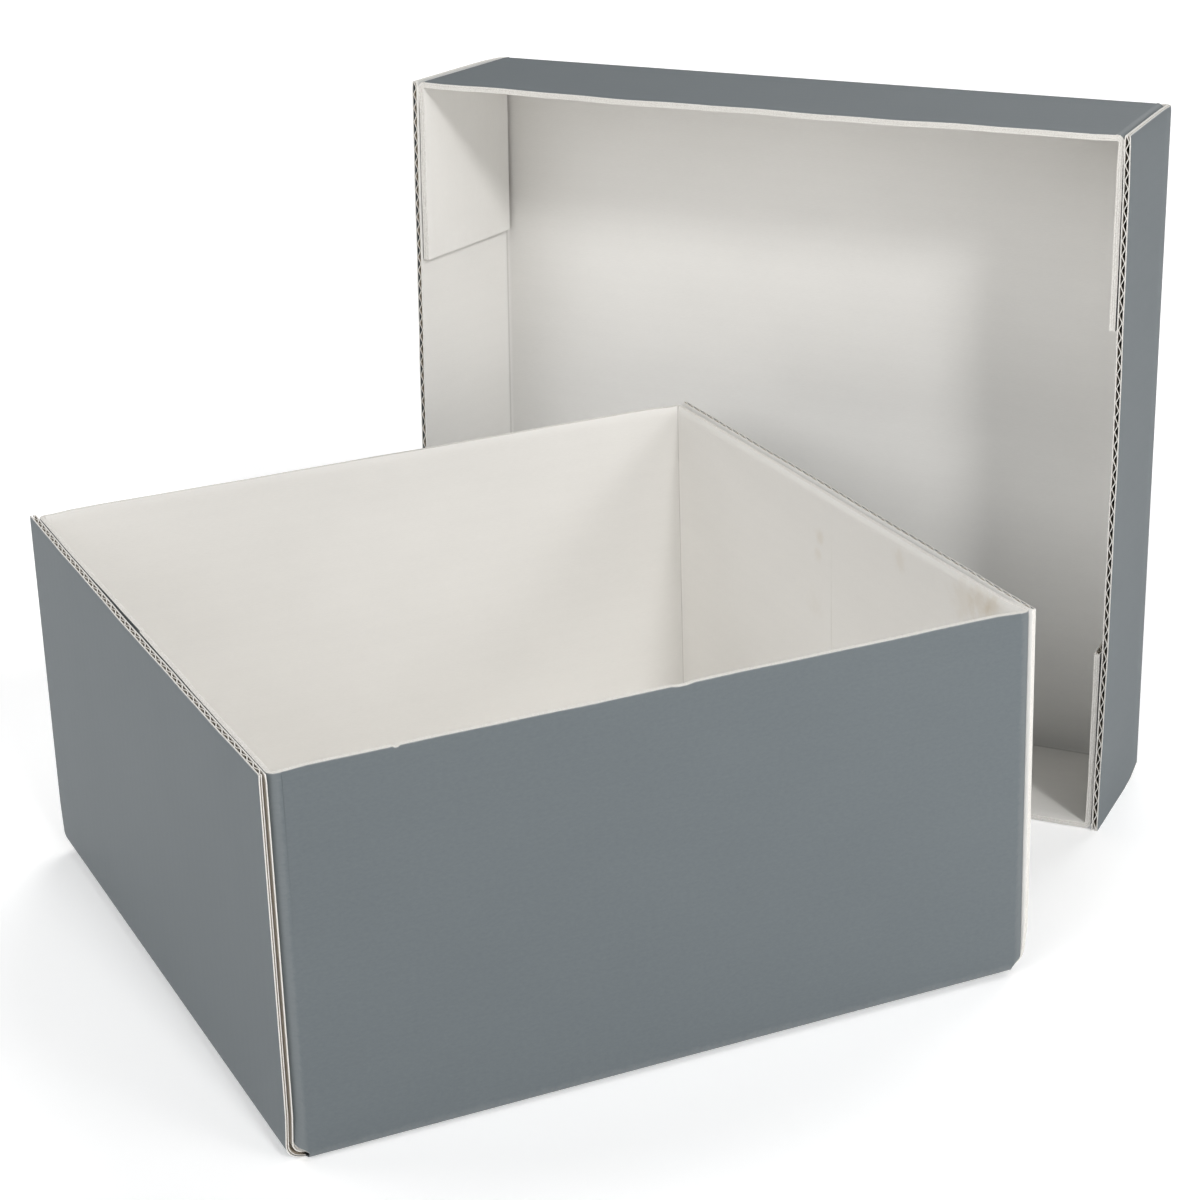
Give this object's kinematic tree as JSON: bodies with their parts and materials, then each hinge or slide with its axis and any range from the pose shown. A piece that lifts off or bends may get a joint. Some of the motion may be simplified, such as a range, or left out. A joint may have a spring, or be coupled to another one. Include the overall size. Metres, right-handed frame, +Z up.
{
  "type": "archival box",
  "caption": "Two-piece storage box in corrugated board: an open tray standing in front of its shallow lid, which lies on one long side. Each is folded from a flat blank with glued corner flaps.",
  "frame": {"origin": "centre of the tray's underside, at the middle of the sharp-cornered outline of its floor panel", "axes": "+X along the tray's front and back walls, to the right seen from the front; +Y from the front wall to the back wall; +Z up, square to the level surface the box stands on, which is at Z = -1.8 mm. The tray itself is tipped by half a degree against +Z, because one corner stands on the lid's lower wall."},
  "size_m": [0.4815, 0.4146, 0.3125],
  "materials": {
    "panel_board": "matte off-white paper liner inside, blue-grey outside, corrugated core",
    "side_wall_board": "matte blue-grey paper liner outside, off-white inside, corrugated core",
    "end_wall_board": "matte blue-grey paper liner outside, off-white inside, open flutes at the rim",
    "flap_board": "matte off-white paper liner facing in, blue-grey glued face"
  },
  "bodies": {
    "tray": {"tray_floor_panel": "panel_board", "tray_left_wall": "end_wall_board", "tray_right_wall": "end_wall_board", "tray_front_wall": "side_wall_board", "tray_back_wall": "side_wall_board", "tray_left_front_flap": "flap_board", "tray_left_back_flap": "flap_board", "tray_right_front_flap": "flap_board", "tray_right_back_flap": "flap_board"},
    "lid": {"lid_top_panel": "panel_board", "lid_left_wall": "end_wall_board", "lid_right_wall": "end_wall_board", "lid_lower_wall": "side_wall_board", "lid_upper_wall": "side_wall_board", "lid_left_lower_flap": "flap_board", "lid_left_upper_flap": "flap_board", "lid_right_lower_flap": "flap_board", "lid_right_upper_flap": "flap_board"}
  },
  "joints": [
    {"name": "lid_slide", "type": "slide", "parent": "tray", "child": "lid", "axis": [0.783, 0.622, 0], "range_m": [0, 0.12]}
  ]
}
